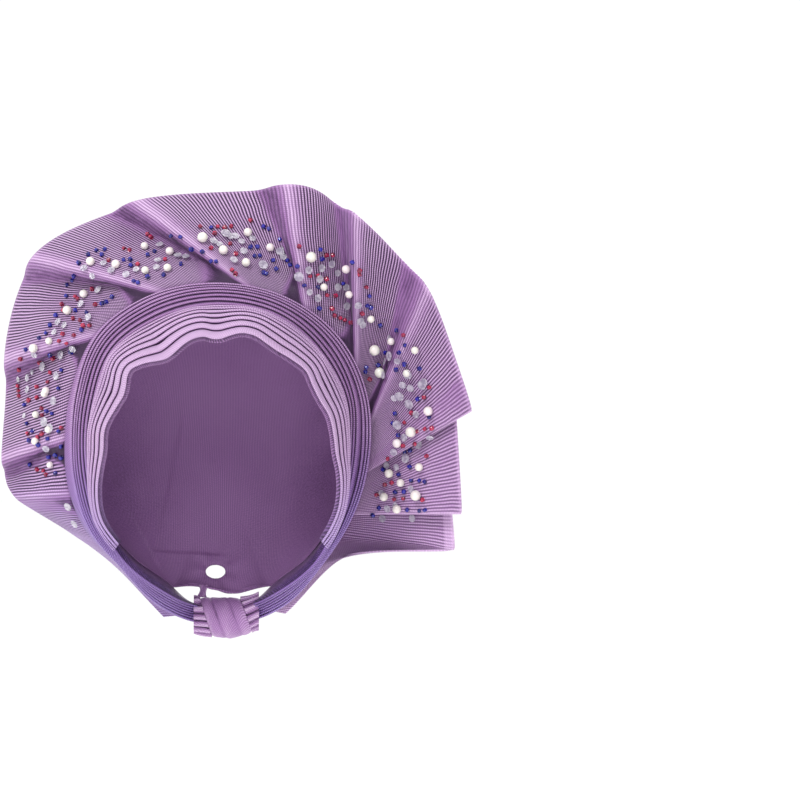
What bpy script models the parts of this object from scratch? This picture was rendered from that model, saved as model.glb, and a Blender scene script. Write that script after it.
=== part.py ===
"""Tied gele head tie: a pleated, ruffled cloth head wrap with pearls.

Lengths are written in millimetres and turned into metres by MM.
The wearer looks along -Y, the wearer's left is +X, and +Z is up.
The origin is the middle of the head at eye level.
"""
import math

import bmesh
import bpy
import numpy as np
from mathutils import Matrix, Vector
from mathutils.bvhtree import BVHTree

MM = 0.001
GAP = 0.3
CENTRE_UP = 20.0

# Sections round the head, seen from the front: degrees clockwise from the top,
# then the radius round the centre and how far back each edge lies.
# seam: pale pleats meet dark pleats.  ring: outer edge.  cap: where the cap starts.
HEAD_SECTIONS = (
    # deg, seam_radius, seam_back, ring_radius, ring_back, cap_radius, cap_back
    (-180, 106, 82, 118, 90, 107, 98),
    (-168, 104, 74, 116, 87, 104, 95),
    (-160, 100, 50, 113, 80, 97, 86),
    (-140, 94, 16, 101, 54, 92, 64),
    (-122, 88, 12, 102, 43, 91, 54),
    (-105, 83, 13, 101, 37, 88, 50),
    (-88, 82, 12, 99.5, 33, 86, 46),
    (-70, 83, 4, 101, 24, 86, 36),
    (-48, 88, -8, 105, 7, 86, 20),
    (-30, 86, -21, 103, -8, 83, 4),
    (0, 84, -36, 99, -25, 80, -12),
    (25, 84, -31, 99, -16, 80, -2),
    (48, 82, -14, 99.5, 1, 82, 14),
    (70, 81, 2, 97, 16, 83, 30),
    (88, 78, 10, 94.5, 24, 83, 40),
    (105, 79, 14, 94, 32, 84, 46),
    (122, 84, 16, 95.5, 42, 87, 54),
    (140, 93, 20, 100, 56, 91, 66),
    (160, 100, 50, 113, 80, 97, 86),
    (168, 104, 74, 116, 87, 104, 95),
    (180, 106, 82, 118, 90, 107, 98),
)

# The edge that frames the face.
BROW_SECTIONS = (
    # deg, radius, back
    (-134, 89, 6),
    (-116, 79, -9),
    (-98, 71.5, -26),
    (-67, 68, -50),
    (-50, 69, -60),
    (-35, 64.5, -66),
    (-20, 64, -70),
    (0, 62, -72),
    (20, 63.5, -71),
    (45, 66, -66),
    (65, 64.5, -60),
    (83, 64.5, -52),
    (98, 68, -40),
    (112, 75, -22),
    (134, 87, 8),
)

# The fan's folds in order round the head, from the tail to the hem of the last layer.
# Each row is one fold's edge: where it leaves the ring, where it ends on the rim,
# and how far the cloth swings in front of and behind its mean there.
FAN_FOLDS = (
    # ring_deg, ring_back, rim_side, rim_up, rim_back, swing
    (-166, 0.0, -38, -92, 88, 0),
    (-148, 0.0, -68, -59, 77, 0),
    (-128, 0.0, -98, -36, 76, 3),
    (-108, 0.0, -133, -13, 73, 7),
    (-87, 0.0, -142, 12, 80, 11),
    (-48, 0.0, -140, 76, 74, 12),
    (-21, 0.0, -121, 140, 54, 13),
    (10, 0.5, -54, 174, 30, 13),
    (32, 1.0, 40, 181, -6, 12),
    (61, 1.8, 82, 160, -27, 11),
    (83, 2.2, 126, 115, -28, 7),
    (101, 5.5, 154, 41, -22, 0),
    (95, 10.0, 144, 72, -10, 0),
    (118, 14.5, 150, -23, 3, 0),
    (110, 19.0, 143, 10, 15, 0),
    (127, 23.0, 148, -46, 27, 0),
    (142, 16.0, 88, -49, 55, 0),
    (163, 6.0, 42, -90, 88, 0),
)

FAN_WALL = 1.2
FAN_STEPS = 8
FAN_ROWS = 6
FAN_TUCK = 1.2
FAN_CURL = 0.35
FAN_LEAN = 0.22

BROW_PLEATS = 7
BROW_STEP = 1.8
BROW_WALL = 1.6
BROW_BULGE = 4.0

DARK_PLEATS = 7
DARK_STEP = 1.4
BACK_PLEATS = 5
BACK_STEP = 2.4
LIP = 1.8
SHOULDER = 5.0

CAP_WALL = 1.2
CAP_PEAK_UP = 8.0
CAP_PEAK_BACK = 99.0
CAP_SIDES = 36
CAP_ROWS = 8
CAP_INSET = (0.99, 1.0, 0.99)
CAP_FULLNESS = 0.75
CAP_FOLD = 1.5
CAP_FOLD_PITCH = 38.0
CAP_HOLE_ROWS = (2, 3)
CAP_HEM_UP = -72.0
CAP_HEM_BACK = 90.0

RING_START = -169.0
RING_END = 165.5

KNOT_UP = -93.0
KNOT_BACK = 90.0
KNOT_DEEP = 22.0
KNOT_TALL = 24.0
KNOT_BEND = 0.008
KNOT_RUFFLES = 6
WRAP_START = -10.0
WRAP_END = 16.0
WRAP_SLANT = 4.0
GATHER_LEFT_END = 24.4
GATHER_RIGHT_END = -18.2

TIE_SIDE = -12.5
TIE_WIDE = 6.0
TIE_THICK = 1.4
TIE_TOP = -73.2
TIE_FOOT = -79.3

# The main pearls as they lie in the front view: to the side, up, and the diameter.
# Each one is seated on the fan from the front.
PEARLS = (
    # side, up, size
    (-120, 81, 6.0),
    (-113, 55, 5.0),
    (-111, 30, 5.0),
    (-99, 106, 6.0),
    (-88, 116, 5.5),
    (-83, 136, 5.5),
    (-67, 134, 5.5),
    (-49, 146, 5.0),
    (-33, 142, 5.5),
    (-12, 150, 7.0),
    (1, 142, 6.0),
    (15, 134, 5.5),
    (16, 154, 5.5),
    (30, 144, 5.5),
    (56, 136, 7.0),
    (76, 129, 5.5),
    (64, 118, 5.0),
    (96, 79, 7.0),
    (98, 66, 7.0),
    (119, 78, 5.0),
    (128, 41, 6.0),
    (118, 28, 7.0),
    (110, 21, 6.0),
    (106, 2, 6.0),
    (124, 6, 5.5),
    (113, -4, 5.5),
    (103, -13, 6.0),
    (122, -12, 7.0),
    (111, -21, 6.0),
)


def through_rows(at, places, values, overshoot=True, round_at=()):
    """A smooth curve through the rows of a table, steeper at the rows in round_at."""
    places = np.asarray(places, float)
    values = np.asarray(values, float)
    spans = np.diff(places)
    rises = np.diff(values) / spans
    slopes = np.empty_like(values)
    slopes[0] = rises[0]
    slopes[-1] = rises[-1]
    before = spans[:-1]
    after = spans[1:]
    slopes[1:-1] = (rises[:-1] * after + rises[1:] * before) / (before + after)
    if not overshoot:
        turns = rises[:-1] * rises[1:] <= 0
        limit = 2.5 * np.minimum(abs(rises[:-1]), abs(rises[1:]))
        inner = np.sign(slopes[1:-1]) * np.minimum(abs(slopes[1:-1]), limit)
        slopes[1:-1] = np.where(turns, 0.0, inner)
    for row in round_at:
        slopes[row] = 2.8 * min(rises[row - 1], rises[row], key=abs)
    at = np.asarray(at, float)
    row = np.clip(np.searchsorted(places, at, side="right") - 1, 0, len(spans) - 1)
    part = (at - places[row]) / spans[row]
    return (
        (1 + 2 * part) * (1 - part) ** 2 * values[row]
        + part * (1 - part) ** 2 * spans[row] * slopes[row]
        + part**2 * (3 - 2 * part) * values[row + 1]
        + part**2 * (part - 1) * spans[row] * slopes[row + 1]
    )


def column(table, index):
    return [row[index] for row in table]


def round_head(deg, radius, back):
    """Points at an angle round the face and a depth, as an array of positions."""
    turn = np.radians(deg)
    side = radius * np.sin(turn)
    up = CENTRE_UP + radius * np.cos(turn)
    return np.stack(np.broadcast_arrays(side, back, up), axis=-1).astype(float)


def head_edge(deg, name):
    """One of the edges in HEAD_SECTIONS at the given angles."""
    first = {"seam": 1, "ring": 3, "cap": 5}[name]
    degrees = column(HEAD_SECTIONS, 0)
    radius = through_rows(deg, degrees, column(HEAD_SECTIONS, first))
    back = through_rows(deg, degrees, column(HEAD_SECTIONS, first + 1))
    return round_head(deg, radius, back)


def brow_edge(deg):
    degrees = column(BROW_SECTIONS, 0)
    radius = through_rows(deg, degrees, column(BROW_SECTIONS, 1))
    back = through_rows(deg, degrees, column(BROW_SECTIONS, 2))
    return round_head(deg, radius, back)


def unit(vectors):
    return vectors / np.linalg.norm(vectors, axis=-1, keepdims=True)


def grid_normals(grid):
    """Unit normals of a grid of points, to the left of travel by its second axis."""
    along = np.gradient(grid, axis=0)
    across = np.gradient(grid, axis=1)
    return unit(np.cross(along, across))


def pleated_face(start, end, outward, pleats, step, bulge):
    """Points of a stepped pleated face from one edge to another, two for each pleat."""
    points = []
    for pleat in range(pleats):
        for share, lift in ((pleat / pleats, step), ((pleat + 0.9) / pleats, 0.05 * step)):
            rise = lift + bulge * math.sin(math.pi * share)
            points.append(start + (end - start) * share + outward * rise)
    return points


def mesh_object(name, points, faces, material, smooth):
    mesh = bpy.data.meshes.new(name)
    mesh.from_pydata([tuple(point * MM) for point in points], [], faces)
    solid = bmesh.new()
    solid.from_mesh(mesh)
    bmesh.ops.remove_doubles(solid, verts=solid.verts, dist=1e-6)
    loose = [edge for edge in solid.edges if not edge.link_faces]
    bmesh.ops.delete(solid, geom=loose, context="EDGES")
    bmesh.ops.recalc_face_normals(solid, faces=solid.faces)
    solid.to_mesh(mesh)
    solid.free()
    mesh.materials.append(material)
    if smooth:
        mesh.shade_smooth()
    piece = bpy.data.objects.new(name, mesh)
    bpy.context.collection.objects.link(piece)
    return piece


def sweep(name, sections, material, smooth=False):
    """A solid through closed sections, capped at both ends."""
    count, size = sections.shape[:2]
    faces = []
    for row in range(count - 1):
        start = row * size
        after = start + size
        for col in range(size):
            beside = (col + 1) % size
            faces.append((start + col, start + beside, after + beside, after + col))
    faces.append(tuple(range(size)))
    faces.append(tuple(range((count - 1) * size, count * size))[::-1])
    return mesh_object(name, sections.reshape(-1, 3), faces, material, smooth)


def shell(name, outer, inner, material, round_first=False, left_out=()):
    """A closed wall between two grids of points, with any cells left out as openings."""
    rows, cols = outer.shape[:2]
    count = rows * cols
    cells = []
    for row in range(rows if round_first else rows - 1):
        after = (row + 1) % rows
        for col in range(cols - 1):
            if (row, col) not in left_out:
                cells.append(
                    (row * cols + col, row * cols + col + 1, after * cols + col + 1, after * cols + col)
                )
    sides = set()
    for cell in cells:
        for start, end in zip(cell, cell[1:] + cell[:1]):
            sides.add((start, end))
    faces = list(cells)
    faces += [tuple(corner + count for corner in reversed(cell)) for cell in cells]
    for start, end in sorted(sides):
        if (end, start) not in sides:
            faces.append((end, start, start + count, end + count))
    points = np.concatenate([outer.reshape(-1, 3), inner.reshape(-1, 3)])
    return mesh_object(name, points, faces, material, smooth=True)


def cloth(name, colour, roughness=0.6):
    material = bpy.data.materials.new(name)
    material.use_nodes = True
    shader = material.node_tree.nodes["Principled BSDF"]
    shader.inputs["Base Color"].default_value = (*colour, 1.0)
    shader.inputs["Roughness"].default_value = roughness
    shader.inputs["Metallic"].default_value = 0.0
    return material


def fan_surface(place, across):
    """Points of the fan: place counts the folds from the tail, across runs ring to rim."""
    place = np.asarray(place, float)[:, None]
    across = np.asarray(across, float)[None, :]
    rows = np.arange(len(FAN_FOLDS))
    swing = through_rows(place, rows, column(FAN_FOLDS, 5), overshoot=False)
    pinch = np.minimum(across / 0.3, 1.0) * (1 - 0.55 * across)
    lean = FAN_LEAN * np.minimum(swing / 12.0, 1.0) * pinch
    wave = np.cos(2 * np.pi * place)
    leaned = np.clip(place + lean * (1 - wave), 0, len(FAN_FOLDS) - 1)
    degree_steps = np.diff(column(FAN_FOLDS, 0))
    turns = [row for row in rows[1:-1] if degree_steps[row - 1] * degree_steps[row] < 0]
    read = []
    for index in range(5):
        round_at = turns if index in (1, 4) else ()
        read.append(through_rows(leaned, rows, column(FAN_FOLDS, index), False, round_at))
    ring = head_edge(read[0], "ring")
    away = unit((ring - (0, 0, CENTRE_UP)) * (1, 0, 1))
    ring = ring - away * FAN_TUCK
    ring[..., 1] += read[1] + LIP + GAP + FAN_WALL
    rim = np.stack([read[2], read[4], read[3]], axis=-1)
    points = ring + (rim - ring) * across[..., None]
    points[..., 1] -= (rim - ring)[..., 1] * FAN_CURL * across * (1 - across)
    points[..., 1] -= swing * wave * np.sin(0.5 * np.pi * across) ** 1.15
    return points


def build_fan(material):
    place = np.linspace(0, len(FAN_FOLDS) - 1, (len(FAN_FOLDS) - 1) * FAN_STEPS + 1)
    across = np.linspace(0, 1, FAN_ROWS + 1)
    middle = fan_surface(place, across)
    facing = grid_normals(middle)
    return shell("fan", middle + facing * FAN_WALL / 2, middle - facing * FAN_WALL / 2, material)


def build_brow_pleats(material):
    degrees = np.linspace(BROW_SECTIONS[0][0], BROW_SECTIONS[-1][0], 38)
    brow = brow_edge(degrees)
    seam = head_edge(degrees, "seam")
    travel = unit(np.gradient(brow, axis=0))
    outward = unit(np.cross(travel, seam - brow))
    toward = unit(brow - seam)
    seam = seam + toward * GAP
    outer = pleated_face(brow, seam, outward, BROW_PLEATS, BROW_STEP, BROW_BULGE)
    outer.append(seam)
    inner = []
    for share in (1.0, 0.66, 0.33, 0.0):
        sink = -BROW_WALL + BROW_BULGE * math.sin(math.pi * share)
        inner.append(brow + (seam - brow) * share + outward * sink)
    sections = np.stack(outer + inner, axis=1)
    return sweep("brow_pleats", sections, material)


def build_ring_pleats(material):
    degrees = np.linspace(RING_START, RING_END, 40)
    seam = head_edge(degrees, "seam")
    ring = head_edge(degrees, "ring")
    cap = head_edge(degrees, "cap")
    travel = unit(np.gradient(ring, axis=0))
    forward = unit(np.cross(travel, ring - seam))
    backward = unit(np.cross(ring - cap, travel))
    away = unit((ring - (0, 0, CENTRE_UP)) * (1, 0, 1))
    lip = ring + (0, LIP, 0)
    shoulder = lip - away * SHOULDER
    front = pleated_face(seam, ring, forward, DARK_PLEATS, DARK_STEP, 0.0)
    rear = pleated_face(shoulder, cap, backward, BACK_PLEATS, BACK_STEP, 0.0)
    root = seam - forward * BROW_WALL + unit(ring - seam) * 0.8
    sections = np.stack(front + [ring, lip, shoulder] + rear + [cap, root], axis=1)
    return sweep("ring_pleats", sections, material)


def build_crown_cap(material):
    """The dome from the inner pleats back over the head, with a gathered hole low down."""
    degrees = np.linspace(-180, 180, CAP_SIDES + 1)[:-1] + 180 / CAP_SIDES
    rise = np.linspace(0, 0.5 * np.pi, CAP_ROWS + 1)
    edge = head_edge(degrees, "cap")[:, None, :]
    edge = (edge - (0, 0, CENTRE_UP)) * CAP_INSET + (0, 2 * GAP + CAP_WALL / 2, CENTRE_UP)
    edge[..., 2] = np.maximum(edge[..., 2], CAP_HEM_UP)
    edge[..., 1] = np.minimum(edge[..., 1], CAP_HEM_BACK)
    peak = np.array((0.0, CAP_PEAK_BACK, CAP_PEAK_UP))
    reach = np.cos(rise)[None, :, None] ** CAP_FULLNESS
    climb = np.sin(rise)[None, :]
    middle = peak + (edge - peak) * reach
    middle[..., 1] = edge[..., 1] + (peak[1] - edge[..., 1]) * climb
    low = np.clip((CAP_PEAK_UP - middle[..., 2]) / 80, 0, 1)
    middle[..., 1] += CAP_FOLD * low * np.cos(middle[..., 0] * 2 * np.pi / CAP_FOLD_PITCH)
    around = np.concatenate([middle[-1:], middle, middle[:1]])
    facing = grid_normals(around)[1:-1]
    facing[:, -1] = (0, 1, 0)
    facing *= np.sign((facing * (middle - (0, 20, 10))).sum(axis=-1, keepdims=True))
    hole = [(CAP_SIDES - 1, row) for row in CAP_HOLE_ROWS]
    outer = middle + facing * CAP_WALL / 2
    inner = middle - facing * CAP_WALL / 2
    return shell("crown_cap", outer, inner, material, round_first=True, left_out=hole)


def knot_part(name, start, end, start_slant, end_slant, swell, ruffle, material):
    """One length of the knot at the nape: a bunched solid between two slanted ends."""
    along = np.linspace(0, 1, 6)[:, None]
    turns = np.linspace(0, 2 * np.pi, 25)[:-1][None, :]
    slant = start_slant + (end_slant - start_slant) * along
    middle = start + (end - start) * along
    size = 1 + swell * np.sin(np.pi * along) + ruffle * np.cos(KNOT_RUFFLES * turns)
    side = middle - slant * size * np.sin(turns)
    back = KNOT_BACK - KNOT_BEND * middle**2 + KNOT_DEEP / 2 * size * np.cos(turns)
    up = KNOT_UP + KNOT_BEND * middle**2 + KNOT_TALL / 2 * size * np.sin(turns)
    sections = np.stack([side, back, up], axis=-1)
    return sweep(name, sections, material, smooth=True)


def build_knot(wrap_cloth, gather_cloth):
    slant = WRAP_SLANT
    knot_part("knot_wrap", WRAP_START, WRAP_END, slant, slant, 0.14, 0.0, wrap_cloth)
    left = WRAP_END + GAP
    right = WRAP_START - GAP
    knot_part("knot_gather_left", left, GATHER_LEFT_END, slant, 0, 0.06, 0.09, gather_cloth)
    knot_part("knot_gather_right", GATHER_RIGHT_END, right, 0, slant, 0.06, 0.09, gather_cloth)


def build_cap_tie(material):
    """The short strip that holds the hem of the cap down to the knot."""
    corners = ((-0.5, -0.5), (0.5, -0.5), (0.5, 0.5), (-0.5, 0.5))
    sections = []
    for up, narrow in ((TIE_TOP, 1.0), (0.5 * (TIE_TOP + TIE_FOOT), 0.8), (TIE_FOOT, 0.9)):
        sections.append(
            [
                (TIE_SIDE + side * TIE_WIDE * narrow, CAP_HEM_BACK + back * TIE_THICK, up)
                for side, back in corners
            ]
        )
    return sweep("cap_tie", np.array(sections), material)


def build_pearl(name, side, up, size, fan, material):
    """A pearl brought back until it is GAP short of the fan."""
    clear = (size / 2 + GAP) * MM
    centre = Vector((side, -150, up)) * MM
    for _ in range(60):
        nearest, _, _, distance = fan.find_nearest(centre)
        centre.y += distance - clear
    turn = (centre - nearest).to_track_quat("Z", "Y").to_matrix().to_4x4()
    mesh = bpy.data.meshes.new(name)
    ball = bmesh.new()
    bmesh.ops.create_uvsphere(ball, u_segments=10, v_segments=5, radius=size / 2 * MM)
    bmesh.ops.transform(ball, matrix=Matrix.Translation(centre) @ turn, verts=ball.verts)
    ball.to_mesh(mesh)
    ball.free()
    mesh.shade_smooth()
    mesh.materials.append(material)
    pearl = bpy.data.objects.new(name, mesh)
    bpy.context.collection.objects.link(pearl)
    return pearl


def build_pearls(fan, material):
    surface = bmesh.new()
    surface.from_mesh(fan.data)
    tree = BVHTree.FromBMesh(surface)
    surface.free()
    for number, (side, up, size) in enumerate(PEARLS, start=1):
        build_pearl(f"pearl_{number:02d}", side, up, size, tree, material)


def main():
    for old in list(bpy.data.objects):
        bpy.data.objects.remove(old)
    fan_cloth = cloth("fan_cloth", (0.48, 0.28, 0.58))
    pale_cloth = cloth("pale_pleat_cloth", (0.66, 0.46, 0.80))
    dark_cloth = cloth("dark_pleat_cloth", (0.33, 0.22, 0.55))
    cap_cloth = cloth("cap_cloth", (0.45, 0.27, 0.52))
    pearl_coat = cloth("pearl_coat", (0.86, 0.80, 0.78), 0.15)
    fan = build_fan(fan_cloth)
    build_brow_pleats(pale_cloth)
    build_ring_pleats(dark_cloth)
    build_crown_cap(cap_cloth)
    build_cap_tie(cap_cloth)
    build_knot(cap_cloth, fan_cloth)
    build_pearls(fan, pearl_coat)


main()
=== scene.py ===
"""Looks of the tied gele head tie: ribbed purple cloth, its pleats, ruffles, knot and beads.

Lengths are written in millimetres and turned into metres by MM. The wearer looks along -Y,
the wearer's left is +X, and the origin is the middle of the head at eye level.
"""
import math

import bmesh
import bpy
import numpy as np
from mathutils import Matrix, Vector
from mathutils.bvhtree import BVHTree


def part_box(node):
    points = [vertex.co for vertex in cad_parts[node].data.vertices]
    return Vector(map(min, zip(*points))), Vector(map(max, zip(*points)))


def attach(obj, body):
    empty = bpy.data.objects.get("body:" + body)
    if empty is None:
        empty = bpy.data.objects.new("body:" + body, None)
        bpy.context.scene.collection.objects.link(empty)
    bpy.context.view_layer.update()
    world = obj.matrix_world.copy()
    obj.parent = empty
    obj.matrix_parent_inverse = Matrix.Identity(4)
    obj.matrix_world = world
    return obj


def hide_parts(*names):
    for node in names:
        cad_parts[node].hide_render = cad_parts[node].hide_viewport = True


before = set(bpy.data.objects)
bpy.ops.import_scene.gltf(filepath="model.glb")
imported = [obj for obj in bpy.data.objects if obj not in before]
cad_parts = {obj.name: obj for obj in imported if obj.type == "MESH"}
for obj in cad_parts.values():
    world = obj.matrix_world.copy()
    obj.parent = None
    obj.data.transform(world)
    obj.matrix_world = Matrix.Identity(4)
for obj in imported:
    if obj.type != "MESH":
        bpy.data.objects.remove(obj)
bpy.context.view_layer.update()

MM = 0.001
CENTRE_UP = 20.0
FULL_TURN = 2 * math.pi

# The front view: where the eye is, and where the origin falls in the 800-pixel frame.
EYE_BACK = -1500.0
FRAME = 800
FRAME_ORIGIN = (222, 477)
FRAME_SCALE = 1.6
SENSOR = 36.0

# Sections round the head, seen from the front: degrees clockwise from the top,
# then the radius round the centre and how far back each edge lies.
HEAD_SECTIONS = (
    # deg, seam_radius, seam_back, ring_radius, ring_back, cap_radius, cap_back
    (-180, 106, 82, 118, 90, 107, 98),
    (-168, 104, 74, 116, 87, 104, 95),
    (-160, 100, 50, 113, 80, 97, 86),
    (-140, 94, 16, 101, 54, 92, 64),
    (-122, 88, 12, 102, 43, 91, 54),
    (-105, 83, 13, 101, 37, 88, 50),
    (-88, 82, 12, 99.5, 33, 86, 46),
    (-70, 83, 4, 101, 24, 86, 36),
    (-48, 88, -8, 105, 7, 86, 20),
    (-30, 86, -21, 103, -8, 83, 4),
    (0, 84, -36, 99, -25, 80, -12),
    (25, 84, -31, 99, -16, 80, -2),
    (48, 82, -14, 99.5, 1, 82, 14),
    (70, 81, 2, 97, 16, 83, 30),
    (88, 78, 10, 94.5, 24, 83, 40),
    (105, 79, 14, 94, 32, 84, 46),
    (122, 84, 16, 95.5, 42, 87, 54),
    (140, 93, 20, 100, 56, 91, 66),
    (160, 100, 50, 113, 80, 97, 86),
    (168, 104, 74, 116, 87, 104, 95),
    (180, 106, 82, 118, 90, 107, 98),
)

# The wavy edge over the forehead.
BROW_SECTIONS = (
    # deg, radius, back
    (-134, 88, 6),
    (-122, 86, -4),
    (-109.5, 79.5, -15),
    (-102, 75, -22),
    (-94.7, 71.5, -29),
    (-82.4, 70, -39),
    (-70.7, 66, -47),
    (-63.5, 64.7, -52),
    (-58.7, 66, -55),
    (-54.5, 68.3, -57),
    (-51.4, 69, -59),
    (-47, 67, -61),
    (-43, 64.5, -62),
    (-38.8, 61.6, -64),
    (-34.2, 59.4, -66),
    (-29.6, 59.3, -68),
    (-24.8, 60.6, -69),
    (-19.4, 62.4, -70),
    (-14.7, 63.3, -71),
    (-9.8, 63, -72),
    (-5.8, 61.2, -72),
    (-1, 60.9, -72),
    (4.3, 63, -72),
    (9.4, 65.2, -72),
    (15.8, 65.8, -72),
    (24.3, 63.8, -71),
    (30, 63, -70),
    (39.4, 63.8, -68),
    (49.5, 65, -65),
    (56.8, 63.2, -63),
    (66.4, 63, -60),
    (75.7, 65.3, -56),
    (85.8, 66.4, -50),
    (95.6, 68.4, -42),
    (104.8, 73.4, -32),
    (111.2, 77, -23),
    (119, 81, -12),
    (127.7, 84, -1),
    (134, 86, 8),
)

# The fan's folds in order round the head, from the tail to the hem of the last layer.
FAN_FOLDS = (
    # ring_deg, ring_back, rim_side, rim_up, rim_back, swing
    (-166, 0.0, -38, -92, 88, 0),
    (-148, 0.0, -68, -59, 77, 0),
    (-128, 0.0, -98, -36, 76, 3),
    (-108, 0.0, -133, -13, 73, 7),
    (-87, 0.0, -142, 12, 80, 11),
    (-48, 0.0, -140, 76, 74, 12),
    (-21, 0.0, -121, 140, 54, 13),
    (10, 0.5, -54, 174, 30, 13),
    (32, 1.0, 40, 181, -6, 12),
    (61, 1.8, 82, 160, -27, 11),
    (83, 2.2, 126, 115, -28, 7),
    (101, 5.5, 154, 41, -22, 0),
    (95, 10.0, 144, 72, -10, 0),
    (118, 14.5, 150, -23, 3, 0),
    (110, 19.0, 143, 10, 15, 0),
    (127, 23.0, 148, -46, 27, 0),
    (142, 6.0, 88, -49, 55, 0),
    (163, 1.5, 42, -90, 88, 0),
)
FAN_WALL = 1.1
FAN_STEPS = 36
FAN_ROWS = 44
FAN_TUCK = 1.2
FAN_CURL = 0.35
FAN_LEAN = 0.22
FAN_SEAT = 3.3

# Where each pleat's folded edge lies, as a share of the way across, at angles round the head.
PALE_EDGES = (
    # deg, then an edge for each pleat, from the brow to the seam
    (-134, 0.0, 0.15, 0.30, 0.44, 0.58, 0.72, 0.86),
    (-60, 0.0, 0.15, 0.31, 0.45, 0.59, 0.74, 0.87),
    (0, 0.0, 0.17, 0.33, 0.47, 0.61, 0.75, 0.88),
    (60, 0.0, 0.15, 0.29, 0.44, 0.58, 0.72, 0.86),
    (134, 0.0, 0.14, 0.29, 0.43, 0.58, 0.72, 0.86),
)
DARK_EDGES = (
    # deg, then an edge for each pleat, from the seam to the fan
    (-169, 0.0, 0.12, 0.25, 0.38, 0.52, 0.66, 0.80),
    (-90, 0.0, 0.12, 0.25, 0.37, 0.47, 0.56, 0.65),
    (-35, 0.0, 0.17, 0.34, 0.50, 0.63, 0.76, 0.89),
    (0, 0.0, 0.19, 0.38, 0.55, 0.67, 0.79, 0.90),
    (40, 0.0, 0.17, 0.33, 0.50, 0.66, 0.78, 0.90),
    (90, 0.0, 0.11, 0.21, 0.33, 0.60, 0.74, 0.87),
    (165.5, 0.0, 0.12, 0.25, 0.38, 0.52, 0.66, 0.80),
)
BACK_EDGES = (
    (-169, 0.0, 0.20, 0.40, 0.60, 0.80),
    (0, 0.0, 0.22, 0.44, 0.64, 0.83),
    (165.5, 0.0, 0.20, 0.40, 0.60, 0.80),
)
# The ring's ends run just into the gathers of the knot.
RING_START = -171.5
RING_END = 168.5
LIP = 1.8
SHOULDER = 5.0
# How lit the folded edge and the body of each pleat are.
DARK_TONES = ((0.52, 0.06), (0.58, 0.12), (0.50, 0.04), (0.56, 0.18), (0.58, 0.30), (0.62, 0.32), (0.66, 0.34))
BACK_TONES = ((0.80, 0.14), (0.80, 0.06), (0.85, 0.08), (0.80, 0.06), (0.85, 0.2))
# Where the pale pleats stand open.
BROW_GAPES = (
    # deg, pleat, half_deg, width
    (-4, 1, 7, 0.9),
    (-2, 2, 9, 1.1),
    (-3, 3, 8, 0.9),
    (-31, 1, 5, 1.5),
    (-29, 2, 5, 0.8),
    (-66, 1, 6, 1.6),
    (-70, 2, 8, 1.3),
    (-78, 3, 8, 0.9),
    (60, 1, 6, 1.3),
    (64, 2, 8, 1.3),
    (72, 3, 8, 0.8),
)
NOSE = 0.7

CAP_WALL = 1.2
CAP_PEAK_UP = 8.0
CAP_PEAK_BACK = 99.0
CAP_INSET = (1.0, 1.0, 1.0)
CAP_FULLNESS = 0.75
CAP_FOLD = 1.5
CAP_FOLD_PITCH = 38.0
CAP_HEM_UP = -72.0
CAP_HEM_BACK = 90.0
CAP_SIDES = 300
CAP_ROWS = 80
# The gathered hole, seen from behind: its middle and half its width and height.
HOLE_SIDE, HOLE_UP = -4.0, -62.5
HOLE_WIDE, HOLE_TALL = 6.5, 4.4
# Laps of the cap's cloth, seen from behind: the cloth stands higher left of the line
# that runs from its first end to its second.
CAP_LAPS = (
    # side_a, up_a, side_b, up_b, height, width
    (-24, 50, -43, -46, 1.3, 2.2),
    (-60, -24, -40, -60, 1.1, 1.6),
    (4, -52, -40, -49, 1.4, 1.5),
)

KNOT_UP = -93.0
KNOT_BACK = 90.0
KNOT_DEEP = 22.0
KNOT_TALL = 24.0
KNOT_BEND = 0.008
WRAP_START = -10.0
WRAP_END = 16.0
WRAP_SLANT = 4.0
GATHER_LEFT_END = 24.4
GATHER_RIGHT_END = -18.2
TIE_SIDE = -12.5
TIE_TOP = -73.2
TIE_FOOT = -79.3

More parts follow.
